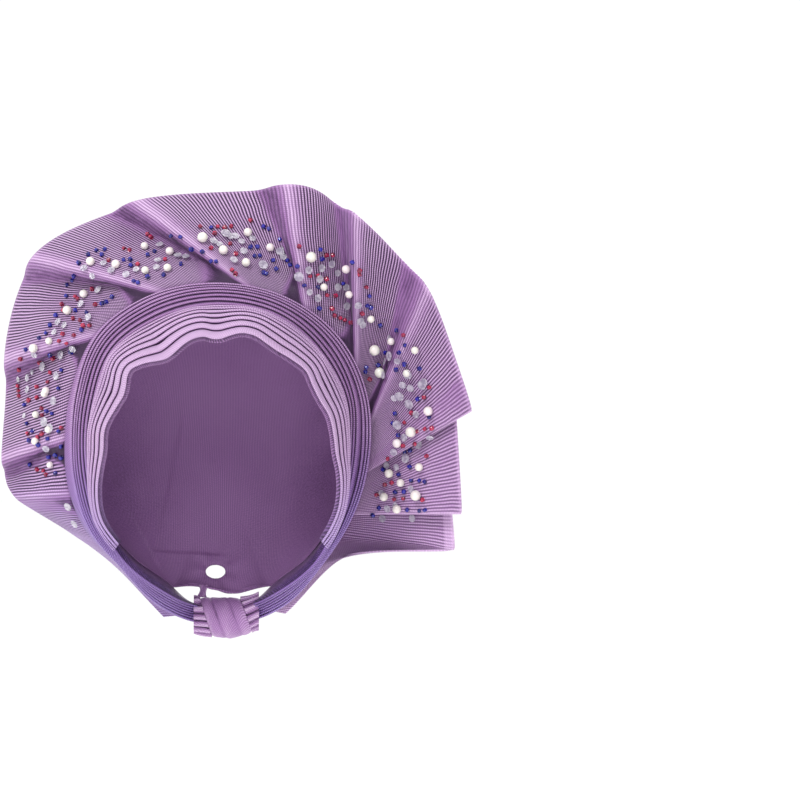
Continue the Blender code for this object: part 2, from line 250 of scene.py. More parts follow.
# Stones sewn on the fan, charted from the front: pixels across and down the 800-pixel frame.
# The pearls of the CAD come first in their own places; these are the smaller ones.
SMALL_PEARLS = (
    # across, down, size
    (408, 372, 5.0),
    (394, 342, 4.8),
    (37, 442, 4.8),
    (146, 272, 4.8),
    (168, 270, 5.0),
    (352, 294, 4.8),
    (370, 318, 4.8),
    (51, 342, 4.6),
    (47, 394, 4.8),
    (52, 465, 4.4),
    (38, 415, 4.6),
)
BLUE_BEADS = (
    # across and down, for each bead
    (88.6, 255.6), (96.8, 251.4), (105, 250.2), (102.2, 255.8), (79.4, 264), (74.6, 275), (72.4, 279),
    (68, 285), (67.4, 296.6), (57, 315.8), (51.2, 325.8), (47, 333.6), (40, 338.2), (26.8, 350),
    (50, 353.8), (72.4, 352), (76.4, 311), (87.4, 312.8), (123.8, 260.8), (130.8, 260.6), (131.2, 266.6),
    (148, 256), (154.8, 252.4), (134, 281.4), (138.4, 283), (148.2, 277.6), (164, 275.6), (181, 265),
    (171.8, 235.2), (181, 237), (192.6, 248.6), (203, 251.6), (211, 228.6), (216.6, 261.6), (211.6, 261),
    (113, 297.4), (103, 304), (107, 302.4), (62.5, 370.3), (59.5, 388.3), (82.4, 330), (250, 248),
    (257, 247.6), (254.4, 256.8), (259.6, 256.4), (272.6, 261), (275.6, 269.6), (263.6, 227.4),
    (269, 229.4), (280.6, 239.4), (287.4, 261), (292, 264.6), (298, 266), (263, 273.6), (266, 274.4),
    (317.6, 287), (319.6, 249.6), (321, 259), (353.6, 262), (342.6, 283.6), (369, 295.6), (367.2, 305.4),
    (370.4, 307), (380, 325), (398, 330.6), (405, 344.6), (386, 352.4), (378, 364.6), (405, 363.6),
    (400, 352.4), (366, 367), (365, 371.6), (420, 368), (318.4, 308.4), (396.4, 369), (303.6, 285.4),
    (430, 417), (399, 435), (418.6, 398.6), (410.6, 466.6), (412, 480.4), (420, 480.4), (425.6, 481.6),
    (404.8, 491.4), (396, 492), (408, 509.4), (420, 510.4), (425.6, 509.6), (379.6, 507.6), (373.2, 514),
    (399.4, 474.4), (393, 423), (405.4, 452), (411, 450.4), (384, 469.4), (395.6, 413), (25.5, 405),
    (59.2, 431.3), (61.7, 446.2), (62.2, 457.5), (31.2, 464.7), (48.3, 438.7), (33.3, 431.2),
    (28, 423.8), (30, 440.8), (39.2, 445.3), (47.8, 411.3), (52.8, 413.3), (56.2, 473.3), (56.3, 455),
    (50, 457),
)
RED_BEADS = (
    # across and down, for each bead
    (109, 261), (124.4, 249.4), (129.6, 251), (148, 235.4), (151.4, 238.4), (138, 265.4), (165.2, 260.4),
    (200, 227.4), (210.6, 249), (214.4, 234.4), (224.4, 228.6), (231, 227), (217.4, 227.4), (231.6, 271),
    (235, 275), (235.6, 254.6), (93, 289.6), (76, 297), (78.6, 299.4), (63, 305), (64.6, 311), (96, 305),
    (74, 319), (81, 320.6), (90.4, 325.6), (84, 326), (63.6, 334.4), (74.6, 335.6), (67, 343),
    (60, 341.6), (21.6, 358.4), (19, 368.4), (19, 386), (19.6, 391), (20, 396), (39.4, 361), (54.4, 358.6),
    (38, 387), (48.7, 382), (230, 244.4), (250.4, 221), (298.4, 246.4), (325.6, 255), (332, 255),
    (309.4, 276), (317, 275.6), (325.6, 279), (359, 270), (359, 274), (366, 286.6), (326.4, 295),
    (334.6, 295.6), (331, 308.4), (333.6, 315.6), (339.4, 318), (344, 320), (352.4, 322.4), (361.6, 313),
    (369.6, 379), (404.4, 335), (417.6, 431), (425.6, 428.6), (432.6, 427.6), (403.6, 445.4), (415, 443),
    (388, 458), (427.4, 456), (392.6, 482.6), (385.6, 484.6), (377.4, 494.6), (395, 499), (404, 498.4),
    (423.4, 499.6), (412.4, 412.6), (425, 397), (430, 387), (405, 422.4), (51.3, 372.8), (30, 400.5),
    (38.2, 397.8), (43, 415.3), (42.5, 408.3), (28.7, 433.7), (38.7, 437.5), (42.8, 434), (62, 427.8),
    (44.2, 470.8), (46.8, 474.7), (38.3, 469.7),
)
CLEAR_STONES = (
    # across, down, size
    (225, 236, 5), (230, 238, 4), (243, 253, 4), (262, 267, 5), (287, 249, 5), (300, 276, 5),
    (316, 298, 4), (359, 320, 4), (393, 356, 5), (409, 373, 5), (424, 384, 5), (426, 381, 4),
    (421, 444, 5), (430, 435, 4), (408, 458, 5), (389, 508, 4), (411, 403, 5), (401, 395, 5),
    (399, 424, 5), (70, 505, 4.5), (77, 522, 4.5), (384, 518, 4), (414, 518, 4), (36, 353, 4),
    (64, 355, 5), (46, 367, 5), (30, 378, 4), (59, 376, 4.5), (30, 390, 4), (56, 401, 4.5),
    (47, 422, 5), (52, 428, 4.5), (47, 447, 4), (20, 379, 3), (26, 416, 3), (34, 372, 3),
    (74, 347, 4), (104, 265, 3.5), (112, 272, 4), (127, 276, 4), (137, 271, 3.5), (158, 262, 3.5),
    (160, 247, 4), (157, 269, 3.5), (178, 258, 4), (186, 259, 4), (85, 270, 4), (94, 275, 3.5),
    (100, 291, 4), (83, 305, 4), (90, 318, 4), (60, 323, 4), (66, 326, 3.5), (56, 333, 3.5),
    (213, 243, 4), (219, 246, 3.5), (235, 238, 4), (241, 243, 3.5), (233, 262, 4), (252, 240, 3.5),
    (279, 253, 4), (283, 258, 3.5), (307, 270, 4), (320, 268, 4), (330, 264, 4), (336, 273, 3.5),
    (318, 279, 4), (308, 292, 3.5), (336, 287, 4), (346, 287, 3.5), (345, 306, 4), (357, 304, 4),
    (362, 324, 3.5), (388, 362, 4), (398, 360, 3.5), (392, 338, 3.5), (386, 375, 4), (404, 384, 4),
    (412, 387, 4), (395, 397, 3.5), (418, 414, 4), (406, 437, 4), (395, 451, 4), (388, 465, 3.5),
    (398, 467, 3.5), (383, 493, 3.5), (413, 489, 4), (397, 505, 3.5),
)
STONE_SINK = 0.35


def through_rows(at, places, values, overshoot=True, round_at=()):
    """A smooth curve through the rows of a table, steeper at the rows in round_at."""
    places = np.asarray(places, float)
    values = np.asarray(values, float)
    spans = np.diff(places)
    rises = np.diff(values) / spans
    slopes = np.empty_like(values)
    slopes[0] = rises[0]
    slopes[-1] = rises[-1]
    before = spans[:-1]
    after = spans[1:]
    slopes[1:-1] = (rises[:-1] * after + rises[1:] * before) / (before + after)
    if not overshoot:
        turns = rises[:-1] * rises[1:] <= 0
        limit = 2.5 * np.minimum(abs(rises[:-1]), abs(rises[1:]))
        inner = np.sign(slopes[1:-1]) * np.minimum(abs(slopes[1:-1]), limit)
        slopes[1:-1] = np.where(turns, 0.0, inner)
    for row in round_at:
        slopes[row] = 2.8 * min(rises[row - 1], rises[row], key=abs)
    at = np.asarray(at, float)
    row = np.clip(np.searchsorted(places, at, side="right") - 1, 0, len(spans) - 1)
    part = (at - places[row]) / spans[row]
    return (
        (1 + 2 * part) * (1 - part) ** 2 * values[row]
        + part * (1 - part) ** 2 * spans[row] * slopes[row]
        + part**2 * (3 - 2 * part) * values[row + 1]
        + part**2 * (part - 1) * spans[row] * slopes[row + 1]
    )


def column(table, index):
    return [row[index] for row in table]


def unit(vectors):
    return vectors / np.linalg.norm(vectors, axis=-1, keepdims=True)


def ramp(values, low, high):
    """0 below low, 1 above high, and a smooth rise between them."""
    part = np.clip((np.asarray(values, float) - low) / (high - low), 0, 1)
    return part * part * (3 - 2 * part)


def round_head(deg, radius, back):
    """Points at an angle round the face and a depth, as an array of positions."""
    turn = np.radians(deg)
    side = radius * np.sin(turn)
    up = CENTRE_UP + radius * np.cos(turn)
    return np.stack(np.broadcast_arrays(side, back, up), axis=-1).astype(float)


def head_edge(deg, name):
    """One of the edges in HEAD_SECTIONS at the given angles."""
    first = {"seam": 1, "ring": 3, "cap": 5}[name]
    degrees = column(HEAD_SECTIONS, 0)
    radius = through_rows(deg, degrees, column(HEAD_SECTIONS, first))
    back = through_rows(deg, degrees, column(HEAD_SECTIONS, first + 1))
    return round_head(deg, radius, back)


def brow_edge(deg):
    degrees = column(BROW_SECTIONS, 0)
    radius = through_rows(deg, degrees, column(BROW_SECTIONS, 1))
    back = through_rows(deg, degrees, column(BROW_SECTIONS, 2))
    return round_head(deg, radius, back)


def lengths(points, axis):
    """How far along the cloth each point of a grid lies, in millimetres."""
    steps = np.linalg.norm(np.diff(points, axis=axis), axis=-1)
    run = np.cumsum(steps, axis=axis)
    first = np.zeros_like(np.take(run, [0], axis=axis))
    return np.concatenate([first, run], axis=axis)


# Cloth pieces from grids of points.


def grid_normals(grid, round_rows=False):
    if round_rows:
        grid = np.concatenate([grid[-1:], grid, grid[:1]])
    along = np.gradient(grid, axis=0)
    across = np.gradient(grid, axis=1)
    facing = np.cross(along, across)
    facing = facing / np.maximum(np.linalg.norm(facing, axis=-1, keepdims=True), 1e-9)
    return facing[1:-1] if round_rows else facing


def link_piece(name, points, faces, corner_places, marks, material):
    """An object from points in millimetres. corner_places are the lengths along and across
    the cloth at each corner, and marks are numbers at each point that its material reads."""
    mesh = bpy.data.meshes.new(name)
    mesh.from_pydata((points * MM).tolist(), [], faces)
    flat = np.zeros((len(mesh.loops), 2))
    flat[: len(corner_places)] = corner_places
    mesh.uv_layers.new(name="weave").data.foreach_set("uv", flat.ravel())
    for mark, values in marks.items():
        layer = mesh.attributes.new(mark, "FLOAT", "POINT")
        layer.data.foreach_set("value", values.astype(float).ravel())
    surface = bmesh.new()
    surface.from_mesh(mesh)
    bmesh.ops.remove_doubles(surface, verts=surface.verts, dist=1e-7)
    bmesh.ops.recalc_face_normals(surface, faces=surface.faces)
    surface.to_mesh(mesh)
    surface.free()
    mesh.materials.append(material)
    mesh.shade_smooth()
    piece = bpy.data.objects.new(name, mesh)
    bpy.context.collection.objects.link(piece)
    return piece


def roll_piece(name, sections, weave, marks, material):
    """A piece through closed sections, one a row, capped at both ends. weave has one more
    column than sections, where each section comes back to its start."""
    rows, cols = sections.shape[:2]
    row, col = (index.ravel() for index in np.indices((rows - 1, cols)))
    after = (col + 1) % cols
    quads = np.stack([row * cols + col, row * cols + after, (row + 1) * cols + after, (row + 1) * cols + col], axis=1)
    places = np.stack([weave[row, col], weave[row, col + 1], weave[row + 1, col + 1], weave[row + 1, col]], axis=1)
    faces = [tuple(quad) for quad in quads.tolist()]
    faces.append(tuple(range(cols)))
    faces.append(tuple(range((rows - 1) * cols, rows * cols))[::-1])
    marks = {mark: np.broadcast_to(values, (rows, cols)) for mark, values in marks.items()}
    return link_piece(name, sections.reshape(-1, 3), faces, places.reshape(-1, 2), marks, material)


def sheet_piece(name, middle, facing, thick, weave, front, back, material, left_out=None):
    """A sheet of cloth with two faces and its cut edges round it. Where weave has one more
    row than middle, the sheet goes round and meets itself. left_out marks cells that are open."""
    rows, cols = middle.shape[:2]
    row, col = np.indices((len(weave) - 1, cols - 1))
    if left_out is not None:
        row, col = row[~left_out], col[~left_out]
    row, col = row.ravel(), col.ravel()
    after = (row + 1) % rows
    quads = np.stack([row * cols + col, row * cols + col + 1, after * cols + col + 1, after * cols + col], axis=1)
    places = np.stack([weave[row, col], weave[row, col + 1], weave[row + 1, col + 1], weave[row + 1, col]], axis=1)
    start, end = quads.ravel(), np.roll(quads, -1, axis=1).ravel()
    start_place, end_place = places.reshape(-1, 2), np.roll(places, -1, axis=1).reshape(-1, 2)
    count = rows * cols
    cut = ~np.isin(start * count + end, end * count + start)
    rim = np.stack([end, start, start + count, end + count], axis=1)[cut]
    rim_places = np.stack([end_place, start_place, start_place, end_place], axis=1)[cut]
    faces = np.concatenate([quads, quads[:, ::-1] + count, rim])
    corners = np.concatenate([places, places[:, ::-1], rim_places])
    points = np.concatenate([(middle + facing * thick / 2).reshape(-1, 3), (middle - facing * thick / 2).reshape(-1, 3)])
    used = np.unique(faces)
    place_of = np.zeros(len(points), int)
    place_of[used] = np.arange(len(used))
    marks = {
        mark: np.concatenate([np.broadcast_to(values, (rows, cols)).ravel(), np.broadcast_to(back[mark], (rows, cols)).ravel()])[used]
        for mark, values in front.items()
    }
    faces = [tuple(face) for face in place_of[faces].tolist()]
    return link_piece(name, points[used], faces, corners.reshape(-1, 2), marks, material)


# Materials. A Strand is one value in a material, and sums with it add Math nodes.


class Strand:
    def __init__(self, paint, socket):
        self.paint = paint
        self.socket = socket

    def math(self, operation, *values):
        return self.paint.node("ShaderNodeMath", {"operation": operation}, dict(enumerate(values)))

    def __add__(self, other):
        return self.math("ADD", self, other)

    def __sub__(self, other):
        return self.math("SUBTRACT", self, other)

    def __rsub__(self, other):
        return self.math("SUBTRACT", other, self)

    def __mul__(self, other):
        return self.math("MULTIPLY", self, other)

    def __truediv__(self, other):
        return self.math("DIVIDE", self, other)

    def __pow__(self, other):
        return self.math("POWER", self, other)

    def __mod__(self, other):
        return self.math("FLOORED_MODULO", self, other)

    __radd__ = __add__
    __rmul__ = __mul__

    def floor(self):
        return self.math("FLOOR", self)

    def wave(self):
        """A smooth wave from 0 to 1, with its crests at whole numbers."""
        return self.math("COSINE", self * FULL_TURN) * 0.5 + 0.5

    def between(self, low, high):
        inputs = {0: self, 1: low, 2: high, 3: 0.0, 4: 1.0}
        return self.paint.node("ShaderNodeMapRange", {"interpolation_type": "SMOOTHSTEP"}, inputs)


class Paint:
    """A material in the making."""

    def __init__(self, name, **constants):
        self.material = bpy.data.materials.new(name)
        self.material.use_nodes = True
        self.tree = self.material.node_tree
        self.shader = self.tree.nodes["Principled BSDF"]
        for socket, value in constants.items():
            self.shader.inputs[socket.replace("_", " ")].default_value = value

    def node(self, kind, settings=None, inputs=None, out=0):
        made = self.tree.nodes.new(kind)
        for setting, value in (settings or {}).items():
            setattr(made, setting, value)
        for key, value in (inputs or {}).items():
            self.join(value, made.inputs[key])
        return Strand(self, made.outputs[out])

    def join(self, value, socket):
        if isinstance(value, Strand):
            self.tree.links.new(value.socket, socket)
        else:
            socket.default_value = value

    def mark(self, name):
        return self.node("ShaderNodeAttribute", {"attribute_name": name}, out="Fac")

    def weave(self):
        """The place on the cloth, and its lengths along and across, in millimetres."""
        place = self.node("ShaderNodeUVMap", {"uv_map": "weave"})
        split = self.node("ShaderNodeSeparateXYZ", inputs={0: place})
        return place, split, Strand(self, split.socket.node.outputs[1])

    def noise(self, vector, scale, detail=2.0, rough=0.5):
        inputs = {"Vector": vector, "Scale": scale, "Detail": detail, "Roughness": rough}
        return self.node("ShaderNodeTexNoise", inputs=inputs)

    def solid_place(self):
        return self.node("ShaderNodeTexCoord", out="Object")

    def mix(self, share, first, second, blend="MIX"):
        settings = {"data_type": "RGBA", "blend_type": blend}
        return self.node("ShaderNodeMix", settings, {0: share, 6: first, 7: second}, out=2)

    def bump(self, height, strength=1.0):
        """height is in millimetres."""
        return self.node("ShaderNodeBump", inputs={"Height": height, "Strength": strength, "Distance": MM})

    def finish(self, **sockets):
        for socket, value in sockets.items():
            self.join(value, self.shader.inputs[socket.replace("_", " ")])
        return self.material


def rgb(red, green, blue):
    return (red, green, blue, 1.0)


# DEEP and GAP_COLOUR are painted shade for pockets, grooves and rib gaps, and GAP_COLOUR is partly also the weave's
# dark threads. MID_PURPLE, LILAC and PALE take the cloth from its painted-shade tone to its painted-highlight tone.
DEEP = rgb(0.016, 0.004, 0.024)
GAP_COLOUR = rgb(0.040, 0.012, 0.058)
MID_PURPLE = rgb(0.200, 0.070, 0.260)
LILAC = rgb(0.400, 0.205, 0.465)
PALE = rgb(0.700, 0.475, 0.750)
BLUE_CAST = rgb(0.60, 0.64, 1.0)
SHEEN = rgb(0.85, 0.72, 0.95)


def cloth_colour(paint, shade, gaps, cast):
    """Purple to pale lilac by the shade mark, which carries painted light and shade. The gaps show the deep purple
    under the ribs, partly the weave's own colour and partly painted shade in the grooves.
    """
    top = paint.mix(shade.between(0.0, 0.5), MID_PURPLE, LILAC)
    top = paint.mix(shade.between(0.5, 1.0), top, PALE)
    gap = paint.mix(shade.between(0.0, 1.0), DEEP, GAP_COLOUR)
    colour = paint.mix(gaps, top, gap)
    # Painted shade: where the shade mark is lowest the colour sinks to near-black DEEP.
    colour = paint.mix((1 - shade).between(0.6, 1.0) * 0.9, colour, DEEP)
    return paint.mix(cast, colour, paint.mix(1.0, colour, BLUE_CAST, "MULTIPLY"))


def ribbed_cloth(name, rib, thread, slant=0.0, rib_height=0.3):
    """Hand-loom cloth: shiny ribs over deep purple gaps, crossed by fine threads. The gaps are partly the weave's dark
    threads and partly painted shade in the grooves. It reads the marks shade (painted light and shade), ribs (how
    strongly the painted groove shade shows) and cast of each point."""
    paint = Paint(name, Metallic=0.0, Sheen_Weight=0.12, Sheen_Roughness=0.4, Sheen_Tint=SHEEN, Specular_IOR_Level=0.35)
    place, along, across = paint.weave()
    strength = paint.mark("ribs")
    drift = paint.noise(place, 0.03, 2.0) - 0.5
    count = (along + across * slant) / rib + drift * 1.5
    rib_wave = count.wave()
    brick = (count + 0.5).floor() % 2.0 * 0.5
    thread_wave = (across / thread + brick).wave()
    patch = paint.noise(paint.solid_place(), 26.0, 3.0)
    fibre = paint.noise(place, 1.1, 2.0)
    shade = paint.mark("shade") + (patch - 0.5) * 0.22 + (fibre - 0.5) * 0.16
    ridge = paint.noise(paint.node("ShaderNodeCombineXYZ", inputs={0: (count + 0.5).floor() * 7.3, 1: across * 0.12}), 1.0, 1.0)
    # The gap share is partly the weave and partly painted shade in the rib grooves, stronger where the ribs mark is
    # high. Below, the rib tops are painted lighter by the same mark.
    bare = (1 - rib_wave).between(0.15, 0.8) * (strength * (0.55 + 0.9 * ridge)).math("MINIMUM", strength * (0.55 + 0.9 * ridge), 1.0)
    bare = bare + (1 - thread_wave) * (0.16 + 0.34 * strength) * (1 - bare)
    colour = cloth_colour(paint, shade + rib_wave * strength * 0.35 + (ridge - 0.5) * 0.25, bare, paint.mark("cast"))
    height = rib_wave * (rib_height * (0.3 + 0.7 * strength)) + thread_wave * 0.08 + fibre * 0.05
    return paint.finish(Base_Color=colour, Roughness=0.6 - rib_wave * 0.16, Normal=paint.bump(height, 0.9))


def plain_cloth(name):
    """The dense plain weave of the cap."""
    paint = Paint(name, Metallic=0.0, Sheen_Weight=0.12, Sheen_Roughness=0.45, Sheen_Tint=SHEEN, Specular_IOR_Level=0.3)
    place, along, across = paint.weave()
    drift = paint.noise(place, 0.02, 2.0) - 0.5
    warp = along / 1.15 + drift * 2.0
    warp_wave = warp.wave()
    brick = (warp + 0.5).floor() % 2.0 * 0.5
    weft_wave = (across / 1.15 + brick + drift * 1.5).wave()
    patch = paint.noise(paint.solid_place(), 18.0, 3.0)
    fibre = paint.noise(place, 0.9, 3.0)
    shade = paint.mark("shade") + (patch - 0.5) * 0.25 + (fibre - 0.5) * 0.3
    bare = (1 - warp_wave) * 0.34 + (1 - weft_wave) * 0.26
    colour = cloth_colour(paint, shade, bare, 0.0)
    height = warp_wave * 0.1 + weft_wave * 0.1 + fibre * 0.08
    return paint.finish(Base_Color=colour, Roughness=0.6, Normal=paint.bump(height, 0.8))


def pearl_coat(name):
    """Ivory pearl with a faint rose and green play over it."""
    paint = Paint(name, Metallic=0.0, Coat_Weight=0.7, Coat_Roughness=0.08, Sheen_Weight=0.2)
    place = paint.solid_place()
    play = paint.noise(place, 160.0, 1.0)
    colour = paint.mix(play.between(0.35, 0.65), rgb(0.80, 0.74, 0.68), rgb(0.70, 0.70, 0.62))
    colour = paint.mix(paint.noise(place, 70.0, 1.0).between(0.4, 0.7) * 0.6, colour, rgb(0.82, 0.68, 0.74))
    fine = paint.noise(place, 900.0, 2.0)
    return paint.finish(Base_Color=colour, Roughness=0.2 + fine * 0.12, Normal=paint.bump(fine * 0.02, 0.4))


def glass(name, colour, deep, clear=0.0):
    """Cut glass: a colour that deepens in patches, and a polished face."""
    paint = Paint(name, Metallic=0.0, Coat_Weight=0.25, Coat_Roughness=0.04, IOR=1.5, Transmission_Weight=clear)
    place = paint.solid_place()
    depth = paint.noise(place, 420.0, 2.0)
    wear = paint.noise(place, 1500.0, 2.0)
    return paint.finish(
        Base_Color=paint.mix(depth.between(0.4, 0.62), colour, deep), Roughness=0.08 + wear * 0.14, Normal=paint.bump(wear * 0.02, 0.3)
    )


# The fan.


def fan_leaned(place, across):
    """The fold table's place for each point: crests lean over the pocket after them."""
    swing = through_rows(place, np.arange(len(FAN_FOLDS)), column(FAN_FOLDS, 5), overshoot=False)
    pinch = np.minimum(across / 0.3, 1.0) * (1 - 0.55 * across)
    lean = FAN_LEAN * np.minimum(swing / 12.0, 1.0) * pinch
    return np.clip(place + lean * (1 - np.cos(FULL_TURN * place)), 0, len(FAN_FOLDS) - 1)


def fan_surface(place, across):
    """Points of the fan: place counts the folds from the tail, across runs ring to rim."""
    place = np.asarray(place, float)[:, None]
    across = np.asarray(across, float)[None, :]
    rows = np.arange(len(FAN_FOLDS))
    swing = through_rows(place, rows, column(FAN_FOLDS, 5), overshoot=False)
    leaned = fan_leaned(place, across)
    degree_steps = np.diff(column(FAN_FOLDS, 0))
    turns = [row for row in rows[1:-1] if degree_steps[row - 1] * degree_steps[row] < 0]
    read = []
    for index in range(5):
        round_at = turns if index in (1, 4) else ()
        read.append(through_rows(leaned, rows, column(FAN_FOLDS, index), False, round_at))
    ring = head_edge(read[0], "ring")
    away = unit((ring - (0, 0, CENTRE_UP)) * (1, 0, 1))
    ring = ring - away * FAN_TUCK
    ring[..., 1] += read[1] + FAN_SEAT
    rim = np.stack([read[2], read[4], read[3]], axis=-1)
    points = ring + (rim - ring) * across[..., None]
    points[..., 1] -= (rim - ring)[..., 1] * FAN_CURL * across * (1 - across)
    soft = np.cos(FULL_TURN * place)
    crisp = 1 - 2 * np.abs(np.sin(np.pi * place))
    wave = soft + (crisp - soft) * 0.65 * (1 - across**2)
    points[..., 1] -= swing * wave * np.sin(0.5 * np.pi * across) ** 1.15
    return points


def fan_marks(place, across, behind):
    """Painted light and shade, rib contrast and cast over the fan. In front each fold has a painted highlight along its
    crest, shows its ribs on the slope after it, and sinks into a painted dark pocket under the next crest. The rib
    contrast follows the same painted light."""
    place = np.asarray(place, float)[:, None]
    across = np.asarray(across, float)[None, :]
    swing = np.minimum(through_rows(place, np.arange(len(FAN_FOLDS)), column(FAN_FOLDS, 5), overshoot=False) / 9, 1)
    uneven = 0.05 * np.sin(2.3 * place) + 0.04 * np.sin(5.1 * place + 3 * across)
    phase = place + (0.5 if behind else 0.0) + uneven * (1 - np.cos(FULL_TURN * place)) / 2
    phase = phase - np.floor(phase)
    crest = 1 - ramp(np.minimum(phase, 1 - phase), 0.01, 0.055)
    slope = ramp(phase, 0.03, 0.14) * (1 - ramp(phase, 0.46, 0.60))
    valley = ramp(phase, 0.46, 0.60) * (1 - ramp(phase, 0.84, 0.98))
    low = 1 - ramp(across, 0.15, 0.75)
    pocket = ramp(phase, 0.5, 0.75) * (1 - ramp(phase, 0.95, 1.0)) * low
    shade = 0.60 + 0.16 * crest - 0.06 * slope - 0.36 * valley - 0.30 * pocket
    ribs = 0.55 + 0.45 * slope - 0.30 * valley - 0.12 * crest - 0.2 * pocket
    # Behind, the painted light is shifted half a fold, so it is lit where the front's valleys are, and the rib contrast
    # is weaker.
    if behind:
        shade = shade + 0.16 * valley + 0.24 * pocket - 0.04
        ribs = ribs * 0.75
    shade = shade * swing + 0.62 * (1 - swing)
    ribs = ribs * swing + 0.6 * (1 - swing)
    # Painted shadow where the fan runs in under the ring pleats.
    shade = shade - 0.3 * (1 - ramp(across, 0.0, 0.08))
    band = np.maximum(*(1 - ramp(np.abs(place - fold), 0.04, 0.10) for fold in (11, 13)))
    hem = ramp(across, 0.92, 0.93) * ramp(place, 14.0, 14.2)
    edge = ramp(across, 0.975, 0.985)
    shade = shade + 0.18 * band + 0.2 * hem + 0.12 * edge
    ribs = ribs * (1 - 0.6 * band) * (1 - 0.5 * hem) * (1 - 0.6 * edge)
    cast = 0.5 * (1 - ramp(place, 1.5, 4.0)) + 0.0 * across
    return {"shade": np.clip(shade, 0, 1), "ribs": np.clip(ribs, 0, 1), "cast": cast}


def make_fan(material):
    folds = len(FAN_FOLDS) - 1
    place = np.linspace(0, folds, folds * FAN_STEPS + 1)
    across = np.linspace(0, 1, FAN_ROWS + 1)
    middle = fan_surface(place, across)
    facing = grid_normals(middle)
    ring = head_edge(through_rows(place, np.arange(folds + 1), column(FAN_FOLDS, 0), False), "ring")
    rim = np.stack([through_rows(place, np.arange(folds + 1), column(FAN_FOLDS, index), False) for index in (2, 4, 3)], axis=1)
    run = lengths(0.35 * ring + 0.65 * rim, 0)
    along = np.interp(fan_leaned(place[:, None], across[None, :]), place, run)
    weave = np.stack([along, lengths(middle, 1)], axis=-1)
    front = fan_marks(place, across, behind=False)
    back = fan_marks(place, across, behind=True)
    towards = facing[..., 1].mean()
    if towards > 0:
        facing = -facing
    return sheet_piece("fan_cloth", middle, facing, FAN_WALL, weave, front, back, material)


# The pleats.


def pleats(start, end, outward, edges, lift, bulge, tones, gapes=()):
    """Lines of points and their shades for knife pleats between two edges. Each pleat's folded
    edge laps over the one before it. edges holds the shares of the way, one row a section;
    tones the shade of each pleat's nose and body; gapes how wide the groove after it opens."""
    reach = end - start
    width = np.linalg.norm(reach, axis=-1)
    ahead = reach / width[:, None]
    points = []
    shades = []

    def put(along, height, shade):
        share = np.clip(along / width, 0, 1)
        rise = height + bulge * np.sin(np.pi * share)
        points.append(start + ahead * along[:, None] + outward * rise[:, None])
        shades.append(shade + 0 * along)

    count = edges.shape[1]
    for pleat in range(count):
        edge = edges[:, pleat] * width
        after = edges[:, pleat + 1] * width if pleat + 1 < count else width
        room = after - edge
        nose, body = tones[pleat]
        radius = np.minimum(NOSE, 0.3 * room)
        gape = gapes[pleat] if len(gapes) else 0 * room
        over = np.maximum(0.06 * room, gape)
        # Painted shade: the turn under each folded edge, its underside and the groove before the next pleat are dark,
        # and the nose and body take the pleat's lit tones.
        if pleat:
            put(edge + np.minimum(1.4, 0.5 * room), 0.35 * lift + 0 * edge, 0.0)
        put(edge + radius, lift + 0 * edge, 0.05)
        put(edge + 0.25 * radius, lift + 0.35 * radius, 0.5 * nose)
        put(edge, lift + radius, 0.9 * nose)
        put(edge + 0.3 * radius, lift + 1.7 * radius, nose)
        put(edge + radius, lift + 2 * radius, nose)
        put(edge + 0.35 * room + 0.5 * radius, 0.85 * lift + 1.7 * radius, 0.35 * nose + 0.65 * body)
        put(edge + 0.65 * room, 0.6 * lift + 1.2 * radius, body)
        put(after - over, 0.3 * lift + 0.5 * radius, 0.8 * body)
        if pleat + 1 < count:
            put(after + 0.6, -0.4 * lift - 0.6 * gape, 0.0)
    return points, shades


def wander(deg, pleat, size):
    """A slow uneven shift of a pleat's edge round the head."""
    turn = np.radians(deg)
    return size * (
        np.sin(3.1 * turn + 1.7 * pleat) + 0.7 * np.sin(7.3 * turn + 2.9 * pleat + 0.6) + 0.4 * np.sin(13.7 * turn + 4.1 * pleat)
    )


def pleat_edges(deg, table, size):
    degrees = column(table, 0)
    edges = [through_rows(deg, degrees, column(table, index)) for index in range(1, len(table[0]))]
    return np.stack([edge + (wander(deg, i, size) if i else 0) for i, edge in enumerate(edges)], axis=1)


def banded(points, shades):
    """Sections, weave lengths and shades of a band from lists of its lines."""
    sections = np.stack(points, axis=1)
    closed = np.concatenate([sections, sections[:, :1]], axis=1)
    across = lengths(closed, 1)
    along = lengths(sections, 0).mean(axis=1)[:, None] + 0 * across
    return sections, np.stack([along, across], axis=-1), np.stack(shades, axis=1)


def make_brow_pleats(material):
    deg = np.linspace(BROW_SECTIONS[0][0], BROW_SECTIONS[-1][0], 300)
    brow = brow_edge(deg)
    seam = head_edge(deg, "seam")
    travel = unit(np.gradient(brow, axis=0))
    outward = unit(np.cross(travel, seam - brow))
    seam = seam + unit(brow - seam) * 0.3
    edges = pleat_edges(deg, PALE_EDGES, 0.004)
    gapes = np.zeros((edges.shape[1], len(deg)))
    for middle, pleat, half, wide in BROW_GAPES:
        gapes[pleat] += wide * np.exp(-(((deg - middle) / half) ** 2))
    tones = [(1.0, 0.88)] * edges.shape[1]
    points, shades = pleats(brow, seam, outward, edges, 0.6, 4.0, tones, gapes)
    # Painted shade on the seam and on the band's inner side.
    points.append(seam)
    shades.append(0.2 + 0 * deg)
    for share in (1.0, 0.66, 0.33, 0.0):
        points.append(brow + (seam - brow) * share + outward * (-1.6 + 4.0 * math.sin(math.pi * share)))
        shades.append(0.35 + 0 * deg)
    sections, weave, shade = banded(points, shades)
    cast = 0.6 * (1 - ramp(sections[..., 2], -60, 30))
    return roll_piece("brow_pleat_cloth", sections, weave, {"shade": shade, "ribs": 0.42, "cast": cast}, material)


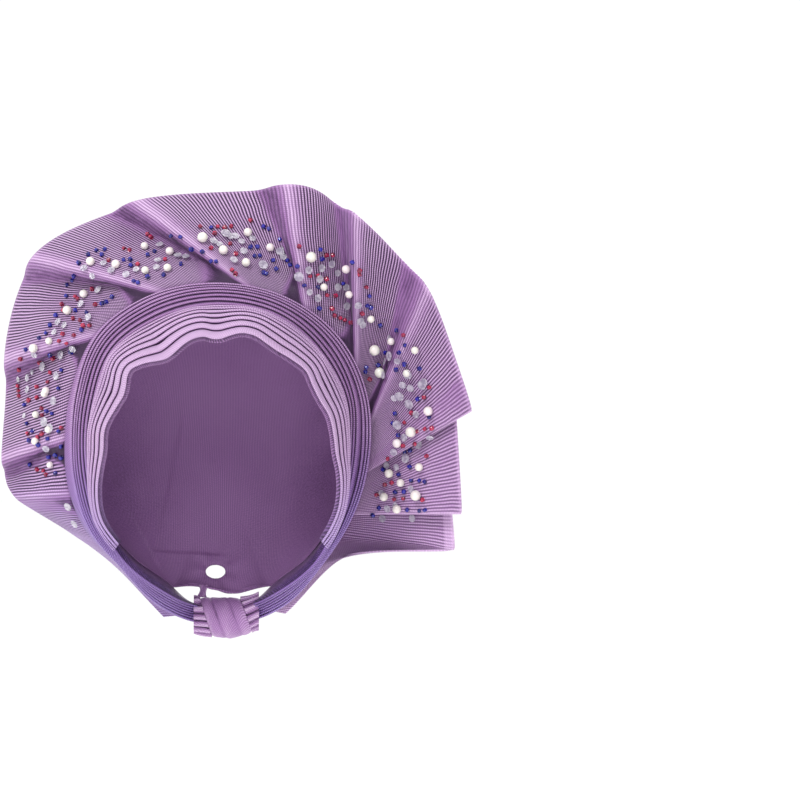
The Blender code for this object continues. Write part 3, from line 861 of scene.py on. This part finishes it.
def make_ring_pleats(material):
    deg = np.linspace(RING_START, RING_END, 400)
    seam = head_edge(deg, "seam")
    ring = head_edge(deg, "ring")
    cap = head_edge(deg, "cap")
    travel = unit(np.gradient(ring, axis=0))
    forward = unit(np.cross(travel, ring - seam))
    backward = unit(np.cross(ring - cap, travel))
    away = unit((ring - (0, 0, CENTRE_UP)) * (1, 0, 1))
    lip = ring + (0, LIP, 0)
    shoulder = lip - away * SHOULDER
    front_edges = pleat_edges(deg, DARK_EDGES, 0.008)
    rear_edges = pleat_edges(deg, BACK_EDGES, 0.012)
    rear_gapes = 0.8 + 0.5 * np.stack([wander(deg, 5 + pleat, 0.6) for pleat in range(rear_edges.shape[1])])
    points, shades = pleats(seam, ring, forward, front_edges, 0.45, 0.0, DARK_TONES)
    rear_points, rear_shades = pleats(shoulder, cap, backward, rear_edges, 2.2, 0.0, BACK_TONES, rear_gapes)
    root = seam - forward * 1.6 + unit(ring - seam) * 0.8
    # Painted shade deepening from the ring through the lip, shoulder and cap edge to the hidden root.
    points += [ring, lip, shoulder] + rear_points + [cap, root]
    shades += [0.5 + 0 * deg, 0.4 + 0 * deg, 0.3 + 0 * deg] + rear_shades + [0.2 + 0 * deg, 0.1 + 0 * deg]
    sections, weave, shade = banded(points, shades)
    rear = ramp(sections[..., 1] - ring[:, None, 1], 2, 6)
    cast = 0.8 * (1 - ramp(sections[..., 2], -40, 60)) * (1 - rear)
    return roll_piece("ring_pleat_cloth", sections, weave, {"shade": shade, "ribs": 0.4, "cast": cast}, material)


# The cap over the back of the head.


def cap_surface(degrees, rise):
    """Points of the cap, one row an angle round the face, one column a step to its peak."""
    edge = head_edge(degrees, "cap")[:, None, :]
    edge = (edge - (0, 0, CENTRE_UP)) * CAP_INSET + (0, 0.3 + CAP_WALL / 2, CENTRE_UP)
    hem = CAP_HEM_UP - 5.0 * np.exp(-(((edge[..., 0] - 8) / 11) ** 2)) + 0.5 * np.sin(edge[..., 0] / 4.5)
    edge[..., 2] = np.maximum(edge[..., 2], hem)
    edge[..., 1] = np.minimum(edge[..., 1], CAP_HEM_BACK)
    peak = np.array((0.0, CAP_PEAK_BACK, CAP_PEAK_UP))
    points = peak + (edge - peak) * np.cos(rise)[None, :, None] ** CAP_FULLNESS
    points[..., 1] = edge[..., 1] + (peak[1] - edge[..., 1]) * np.sin(rise)[None, :]
    return points


def cap_relief(side, up):
    """How far the cloth of the cap stands out, and how lit it is, seen from behind."""
    low = np.clip((CAP_PEAK_UP - up) / 80, 0, 1)
    fold = np.cos(side * FULL_TURN / CAP_FOLD_PITCH)
    height = CAP_FOLD * low * fold + 0.5 * np.sin(side / 9 + up / 23) * np.sin(up / 14 - 0.6)
    shade = 0.62 + 0.08 * fold * low - 0.16 * ramp(-up, 10, 70)
    reach = np.hypot(side - HOLE_SIDE, up - HOLE_UP)
    turn = np.arctan2(side - HOLE_SIDE, up - HOLE_UP)
    gathers = np.exp(-(((reach - 11) / 9) ** 2)) * np.cos(7 * turn + 1.0)
    height = height + 0.55 * gathers
    shade = shade + 0.10 * gathers
    for side_a, up_a, side_b, up_b, lap, wide in CAP_LAPS:
        line = np.array((side_b - side_a, up_b - up_a), float)
        size = np.hypot(*line)
        along = ((side - side_a) * line[0] + (up - up_a) * line[1]) / size
        off = ((side - side_a) * line[1] - (up - up_a) * line[0]) / size
        near = ramp(along, -0.15 * size, 0.25 * size) * (1 - ramp(along, 0.9 * size, 1.2 * size))
        over = ramp(off, -wide / 2, wide / 2) * np.exp(-np.maximum(off, 0) / 26)
        height = height + lap * near * over
        # Painted highlight on each lap and painted shadow beside its edge.
        shade = shade + near * (0.14 * over - 0.16 * np.exp(-(((off + wide) / (1.2 * wide)) ** 2)))
    return height, shade


def make_cap(material):
    degrees = np.linspace(-180, 180, CAP_SIDES + 1)[:-1]
    rise = np.linspace(0, 0.5 * np.pi, CAP_ROWS + 1)
    middle = cap_surface(degrees, rise)
    facing = grid_normals(middle, round_rows=True)
    facing[:, -1] = (0, 1, 0)
    facing *= np.sign((facing * (middle - (0, 20, 10))).sum(axis=-1, keepdims=True))
    side, up = middle[..., 0], middle[..., 2]
    height, shade = cap_relief(side, up)
    inner = ramp(np.arange(CAP_ROWS + 1), 1, 7)[None, :]
    reach = np.hypot((side - HOLE_SIDE) / HOLE_WIDE, (up - HOLE_UP) / HOLE_TALL)
    lip = np.exp(-(((reach - 1.12) / 0.2) ** 2))
    height = height * inner + 1.0 * lip
    # Painted highlight on the hole's lip and painted shade down into the hole.
    shade = shade + 0.14 * lip - 0.3 * (1 - ramp(reach, 0.9, 1.15))
    middle = middle + facing * height[..., None]

    cell_reach = (reach + np.roll(reach, -1, axis=0))[:, :-1] / 4 + (reach + np.roll(reach, -1, axis=0))[:, 1:] / 4
    left_out = cell_reach < 1
    touched = np.zeros(reach.shape, bool)
    kept = np.zeros(reach.shape, bool)
    for cells, mask in ((left_out, touched), (~left_out, kept)):
        for turn in (0, 1):
            mask[:, :-1] |= np.roll(cells, turn, axis=0)
            mask[:, 1:] |= np.roll(cells, turn, axis=0)
    snapped = touched & kept
    scale = np.where(snapped, 1 / np.maximum(reach, 0.1), 1.0)
    middle[..., 0] = HOLE_SIDE + (middle[..., 0] - HOLE_SIDE) * scale
    middle[..., 2] = HOLE_UP + (middle[..., 2] - HOLE_UP) * scale

    sweep_out = lengths(middle[:, ::-1], 1)[:, ::-1].mean(axis=0)[None, :]
    turn = np.radians(np.append(degrees, 180.0))[:, None]
    weave = np.stack([sweep_out * np.sin(turn), sweep_out * np.cos(turn)], axis=-1)
    front = {"shade": np.clip(shade, 0, 1)}
    # The inner face gets painted shade, darker towards the sides.
    back = {"shade": np.clip(0.40 - 0.1 * ramp(np.abs(side), 30, 80), 0, 1)}
    return sheet_piece("cap_cloth", middle, facing, CAP_WALL, weave, front, back, material, left_out)


# The knot at the nape.


def knot_place(side, turn, size):
    """A point of the knot: turn runs round it, from behind over the top."""
    back = KNOT_BACK - KNOT_BEND * side**2 + KNOT_DEEP / 2 * size * np.cos(turn)
    up = KNOT_UP + KNOT_BEND * side**2 + KNOT_TALL / 2 * size * np.sin(turn)
    return back, up


def make_wrap(material):
    """The smooth band that goes once round the bunched ends, and laps over itself in front."""
    turn = np.linspace(-1.08 * np.pi, 1.16 * np.pi, 150)[:, None]
    across = np.linspace(0, 1, 41)[None, :]
    slant = WRAP_SLANT * np.sin(turn - np.pi)
    side = WRAP_START + (WRAP_END - WRAP_START) * across - slant
    rolled = ramp(np.minimum(across, 1 - across), 0.0, 0.10)
    swell = 0.14 * np.sin(np.pi * across) ** 0.7
    soft = 0.025 * np.sin(FULL_TURN * (2.2 * across + 0.35 * np.sin(turn + 0.6))) * np.cos(turn / 2)
    crease = -0.045 * np.exp(-(((across - 0.30 - 0.10 * turn / np.pi) / 0.05) ** 2))
    crease = crease - 0.035 * np.exp(-(((across - 0.72 - 0.07 * turn / np.pi) / 0.045) ** 2))
    lapped = 0.10 * ramp(turn, 0.80 * np.pi, 0.95 * np.pi)
    size = 0.90 + 0.04 * rolled + swell + soft + crease + lapped
    side = side + 0 * turn
    back, up = knot_place(side, turn - np.pi, size)
    middle = np.stack([side, back, up], axis=-1)
    facing = grid_normals(middle)
    outward = middle - np.array((3.0, KNOT_BACK, KNOT_UP))
    outward[..., 0] = 0
    if (facing * outward).sum() < 0:
        facing = -facing
    weave = np.stack([lengths(middle, 1) + 0.5 * lengths(middle, 0), lengths(middle, 0)], axis=-1)
    # Painted light and shade: soft folds and rolled edges lit, creases shaded, and lighter on one side of the turn. The
    # inner face gets a flat painted shade.
    shade = 0.60 + 3.0 * soft + 4.5 * crease + 0.15 * np.cos(turn - 2.5) + 0.12 * (1 - rolled)
    marks = {"shade": np.clip(shade, 0, 1), "ribs": 0.3, "cast": 0.0}
    return sheet_piece("knot_wrap_cloth", middle, facing, 1.3, weave, marks, {"shade": 0.3, "ribs": 0.3, "cast": 0.0}, material)


def make_gather(name, start, end, start_slant, end_slant, phase, material):
    """A bunched end of cloth, frilled all round."""
    along = np.linspace(0, 1, 19)[:, None]
    turn = np.linspace(0, FULL_TURN, 193)[:-1][None, :]
    frill = np.cos(13 * turn + phase + 0.9 * np.sin(3 * turn + phase) + 1.6 * along)
    curl = np.cos(29 * turn + 2 * phase + 2.5 * along)
    size = 0.98 + 0.09 * frill + 0.02 * curl + 0.05 * np.sin(np.pi * along) * np.cos(2 * turn + phase)
    shift = 0.9 * np.sin(5 * turn + phase) * np.sin(np.pi * along)
    side = start + (end - start) * along - (start_slant + (end_slant - start_slant) * along) * np.sin(turn) + shift
    back, up = knot_place(side, turn, size)
    sections = np.stack([side, back, up], axis=-1)
    closed = np.concatenate([sections, sections[:, :1]], axis=1)
    weave = np.stack([lengths(closed, 1), np.broadcast_to(np.abs(end - start) * along, closed.shape[:2])], axis=-1)
    # Painted light and shade: frill crests lighter, troughs darker.
    shade = np.clip(0.5 + 0.42 * frill + 0.12 * curl, 0, 1)
    return roll_piece(name, sections, weave, {"shade": shade, "ribs": 0.35, "cast": 0.0}, material)


def make_tie(material):
    """The short folded strip that holds the cap's hem down to the knot."""
    down = np.linspace(0, 1, 25)[:, None]
    turn = np.linspace(0, FULL_TURN, 33)[:-1][None, :]
    wide = 3.3 * (1 - 0.35 * np.sin(np.pi * down))
    thick = 0.8 * (1 + 0.25 * np.cos(3 * turn + 4 * down))
    side = TIE_SIDE + wide * np.cos(turn) + 0.5 * np.sin(5 * down)
    back = CAP_HEM_BACK + thick * np.sin(turn) + 0.4 * np.cos(2.2 * turn) + 0.8 * np.sin(np.pi * down)
    up = TIE_TOP + 2.2 + (TIE_FOOT - TIE_TOP - 2.2) * down
    sections = np.stack(np.broadcast_arrays(side, back, up), axis=-1)
    closed = np.concatenate([sections, sections[:, :1]], axis=1)
    weave = np.stack([lengths(closed, 1), lengths(closed, 0)], axis=-1)
    # Painted light and shade round the strip, lighter where it bulges.
    shade = 0.55 + 0.2 * np.cos(3 * turn + 4 * down)
    return roll_piece("cap_tie_cloth", sections, weave, {"shade": shade, "ribs": 0.3, "cast": 0.0}, material)


# The stones on the fan. Each kind is modelled once and copied.


def start_model():
    bpy.ops.object.select_all(action="DESELECT")


def model_pearl():
    """A round pearl with a small dimple at each end along Z."""
    start_model()
    bpy.ops.mesh.primitive_uv_sphere_add(segments=20, ring_count=14, radius=0.5)
    pearl = bpy.context.object
    bpy.ops.object.mode_set(mode="EDIT")
    bpy.ops.mesh.select_all(action="DESELECT")
    bpy.ops.object.mode_set(mode="OBJECT")
    for vertex in pearl.data.vertices:
        vertex.select = abs(vertex.co.z) > 0.495
    bpy.ops.object.mode_set(mode="EDIT")
    bpy.ops.mesh.select_mode(type="VERT")
    bpy.ops.transform.resize(value=(1, 1, 0.72))
    bpy.ops.mesh.select_all(action="DESELECT")
    bpy.ops.object.mode_set(mode="OBJECT")
    bpy.ops.object.shade_smooth()
    return pearl


def model_seed_bead():
    """A small cut bead with sunken ends along Z."""
    start_model()
    bpy.ops.mesh.primitive_cylinder_add(vertices=8, radius=0.5, depth=0.8, end_fill_type="NGON")
    bead = bpy.context.object
    bpy.ops.object.mode_set(mode="EDIT")
    bpy.ops.mesh.select_all(action="SELECT")
    bpy.ops.mesh.bevel(offset=0.13, segments=1, affect="EDGES")
    bpy.ops.mesh.select_all(action="DESELECT")
    bpy.ops.object.mode_set(mode="OBJECT")
    for face in bead.data.polygons:
        face.select = abs(face.normal.z) > 0.9
    bpy.ops.object.mode_set(mode="EDIT")
    bpy.ops.mesh.select_mode(type="FACE")
    bpy.ops.mesh.inset(thickness=0.12, use_individual=True)
    bpy.ops.transform.resize(value=(1, 1, 0.45))
    bpy.ops.mesh.select_all(action="DESELECT")
    bpy.ops.object.mode_set(mode="OBJECT")
    return bead


def model_cut_stone():
    """A clear stone with cut faces and a flat table towards Z."""
    start_model()
    bpy.ops.mesh.primitive_uv_sphere_add(segments=10, ring_count=6, radius=0.5)
    stone = bpy.context.object
    for vertex in stone.data.vertices:
        vertex.select = False
    for face in stone.data.polygons:
        face.select = face.center.z > 0.38
    bpy.ops.object.mode_set(mode="EDIT")
    bpy.ops.mesh.select_mode(type="FACE")
    bpy.ops.transform.resize(value=(1.25, 1.25, 0.0), center_override=(0, 0, 0.33))
    bpy.ops.mesh.select_all(action="SELECT")
    bpy.ops.transform.resize(value=(1, 1, 0.8))
    bpy.ops.mesh.select_all(action="DESELECT")
    bpy.ops.object.mode_set(mode="OBJECT")
    bpy.ops.object.shade_flat()
    return stone


def ray_through(across, down):
    """The camera's line of sight through a pixel of the frame."""
    camera = bpy.context.scene.camera
    turn = camera.rotation_euler.to_matrix()
    reach = -EYE_BACK * FRAME_SCALE
    return turn @ Vector((across - FRAME / 2, FRAME / 2 - down, -reach)).normalized()


def seat(fan, across, down, height, angle):
    """Where a stone sits on the fan under a pixel: its middle is height off the cloth, and
    its Z axis lies along the cloth, turned by angle."""
    eye = Vector((0, EYE_BACK, 0)) * MM
    sight = ray_through(across, down)
    place, normal, _, _ = fan.ray_cast(eye, sight)
    if place is None:
        place, normal, _, _ = fan.find_nearest(eye - sight * (eye.y / sight.y))
    if normal.dot(sight) > 0:
        normal = -normal
    flat = Vector((math.cos(angle), 0, math.sin(angle)))
    along = (flat - normal * flat.dot(normal)).normalized()
    return place + normal * height * MM, along, normal


def set_of_stones(name, model, places, material, nodes=()):
    """One piece with a copy of the model at each place."""
    copies = []
    for middle, axis, up, size in places:
        copy = bpy.data.objects.new(name, model.data.copy())
        side = up.cross(axis).normalized()
        turn = Matrix((side, axis.cross(side), axis)).transposed().to_4x4()
        copy.data.transform(Matrix.Translation(middle) @ turn @ Matrix.Scale(size * MM, 4))
        bpy.context.collection.objects.link(copy)
        copies.append(copy)
    start_model()
    for copy in copies:
        copy.select_set(True)
    bpy.context.view_layer.objects.active = copies[0]
    if len(copies) > 1:
        bpy.ops.object.join()
    piece = bpy.context.view_layer.objects.active
    piece.name = name
    piece.data.materials.clear()
    piece.data.materials.append(material)
    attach(piece, "root")
    if nodes:
        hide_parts(*nodes)
    return piece


def make_stones(fan_piece):
    surface = bmesh.new()
    surface.from_mesh(fan_piece.data)
    fan = BVHTree.FromBMesh(surface)
    surface.free()
    pearl = model_pearl()
    seed_bead = model_seed_bead()
    cut_stone = model_cut_stone()
    ivory = pearl_coat("ivory_pearl_look")
    blue = glass("blue_glass_look", rgb(0.020, 0.016, 0.30), rgb(0.008, 0.006, 0.10))
    red = glass("red_glass_look", rgb(0.42, 0.020, 0.075), rgb(0.15, 0.008, 0.04))
    clear = glass("clear_glass_look", rgb(0.86, 0.83, 0.90), rgb(0.55, 0.50, 0.62), clear=0.35)
    sown = []
    for name in sorted(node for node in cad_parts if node.startswith("pearl_")):
        low, high = (Vector(corner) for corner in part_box(name))
        middle = (low + high) / 2
        size = (high - low).x / MM
        cloth, normal, _, _ = fan.find_nearest(middle)
        if normal.dot(middle - cloth) < 0:
            normal = -normal
        middle = cloth + normal * (0.5 * size - STONE_SINK) * MM
        angle = 2.4 * len(sown)
        flat = Vector((math.cos(angle), 0, math.sin(angle)))
        along = (flat - normal * flat.dot(normal)).normalized()
        sown.append((middle, along, normal, size))
        set_of_stones(name + "_look", pearl, sown[-1:], ivory, [name])
    small = []
    for number, (across, down, size) in enumerate(SMALL_PEARLS):
        small.append((*seat(fan, across, down, 0.5 * size - STONE_SINK, 1.7 * number), size))
    set_of_stones("small_pearls", pearl, small, ivory)
    stones = []
    for number, (across, down, size) in enumerate(CLEAR_STONES):
        middle, axis, normal = seat(fan, across, down, 0.36 * size - STONE_SINK, 1.3 * number)
        stones.append((middle, normal, axis, size))
    set_of_stones("clear_stones", cut_stone, stones, clear)
    for name, table, colour in (("blue_seed_beads", BLUE_BEADS, blue), ("red_seed_beads", RED_BEADS, red)):
        beads = []
        for number, (across, down) in enumerate(table):
            size = 2.9 + 0.25 * math.sin(5.1 * number)
            beads.append((*seat(fan, across, down, 0.5 * size - STONE_SINK, 2.1 * number), size))
        set_of_stones(name, seed_bead, beads, colour)
    for model in (pearl, seed_bead, cut_stone):
        bpy.data.objects.remove(model)


def declare(piece, slot, flat, held, rests_on, *nodes, area=None):
    """A cloth piece rides on the head tie and stands for its CAD nodes, which it hides."""
    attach(piece, "root")
    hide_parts(*nodes)


def frame_view():
    """The camera in front of the face, aimed so that the head lies left in the frame."""
    lens = bpy.data.cameras.new("front_view")
    lens.sensor_width = SENSOR
    lens.lens = SENSOR * -EYE_BACK * FRAME_SCALE / FRAME
    camera = bpy.data.objects.new("front_view", lens)
    bpy.context.collection.objects.link(camera)
    eye = Vector((0, EYE_BACK, 0)) * MM
    side = (FRAME / 2 - FRAME_ORIGIN[0]) / FRAME_SCALE
    up = (FRAME_ORIGIN[1] - FRAME / 2) / FRAME_SCALE
    aim = Vector((side, 0, up)) * MM
    camera.location = eye
    camera.rotation_euler = (aim - eye).to_track_quat("-Z", "Y").to_euler()
    bpy.context.scene.camera = camera


def softbox(name, place, aim, size, power):
    light = bpy.data.lights.new(name, "AREA")
    light.shape = "DISK"
    light.size = size
    light.energy = power
    lamp = bpy.data.objects.new(name, light)
    bpy.context.collection.objects.link(lamp)
    lamp.location = place
    lamp.rotation_euler = (Vector(aim) - Vector(place)).to_track_quat("-Z", "Y").to_euler()


def studio():
    """A pale paper floor in a soft white room, shown with plain, undimmed colours."""
    mesh = bpy.data.meshes.new("studio_floor")
    reach = 30.0
    down = -0.30
    mesh.from_pydata([(-reach, -reach, down), (reach, -reach, down), (reach, reach, down), (-reach, reach, down)], [], [(0, 1, 2, 3)])
    floor = bpy.data.objects.new("studio_floor", mesh)
    bpy.context.collection.objects.link(floor)
    paper = Paint("studio_paper", Roughness=0.9)
    grain = paper.noise(paper.solid_place(), 60.0, 3.0)
    mesh.materials.append(paper.finish(Base_Color=paper.mix(grain, rgb(0.95, 0.95, 0.95), rgb(0.97, 0.97, 0.97))))
    world = bpy.data.worlds.new("studio_air")
    world.use_nodes = True
    world.node_tree.nodes["Background"].inputs[0].default_value = rgb(1, 1, 1)
    world.node_tree.nodes["Background"].inputs[1].default_value = 1.05
    bpy.context.scene.world = world
    bpy.context.scene.view_settings.view_transform = "Standard"
    softbox("key_light", (-0.9, -1.6, 1.5), (0, 0, 0.05), 0.7, 30)
    softbox("rear_light", (0.9, 1.7, 1.3), (0, 0, 0.05), 0.9, 24)


def main():
    fan_cloth = ribbed_cloth("fan_cloth_look", 1.9, 1.3)
    pleat_cloth = ribbed_cloth("pleat_cloth_look", 1.35, 1.3, slant=0.35)
    knot_cloth = ribbed_cloth("knot_cloth_look", 1.2, 1.2, slant=0.2)
    cap_cloth = plain_cloth("cap_cloth_look")
    fan = make_fan(fan_cloth)
    declare(fan, "fan_cloth", (0.82, 0.072), "folded", ["ring_pleats"], "fan")
    brow = make_brow_pleats(pleat_cloth)
    declare(brow, "pale_pleat_cloth", (0.32, 0.074), "folded", ["ring_pleats"], "brow_pleats")
    ring = make_ring_pleats(pleat_cloth)
    declare(ring, "dark_pleat_cloth", (0.62, 0.068), "folded", ["crown_cap"], "ring_pleats")
    cap = make_cap(cap_cloth)
    declare(cap, "cap_cloth", (0.24, 0.2), "gathered", ["ring_pleats"], "crown_cap")
    wrap = make_wrap(knot_cloth)
    declare(wrap, "cap_cloth", (0.028, 0.085), "folded", ["knot_gather_left"], "knot_wrap")
    left = make_gather("knot_gather_left_cloth", WRAP_END + 0.3, GATHER_LEFT_END, WRAP_SLANT, 0, 0.4, knot_cloth)
    declare(left, "fan_cloth", (0.1, 0.01), "gathered", ["ring_pleats"], "knot_gather_left")
    right = make_gather("knot_gather_right_cloth", GATHER_RIGHT_END, WRAP_START - 0.3, 0, WRAP_SLANT, 2.1, knot_cloth)
    declare(right, "fan_cloth", (0.1, 0.01), "gathered", ["ring_pleats"], "knot_gather_right")
    tie = make_tie(cap_cloth)
    declare(tie, "cap_cloth", (0.01, 0.012), "folded", ["knot_wrap"], "cap_tie", area=6e-5)
    make_stones(fan)


frame_view()
studio()
main()
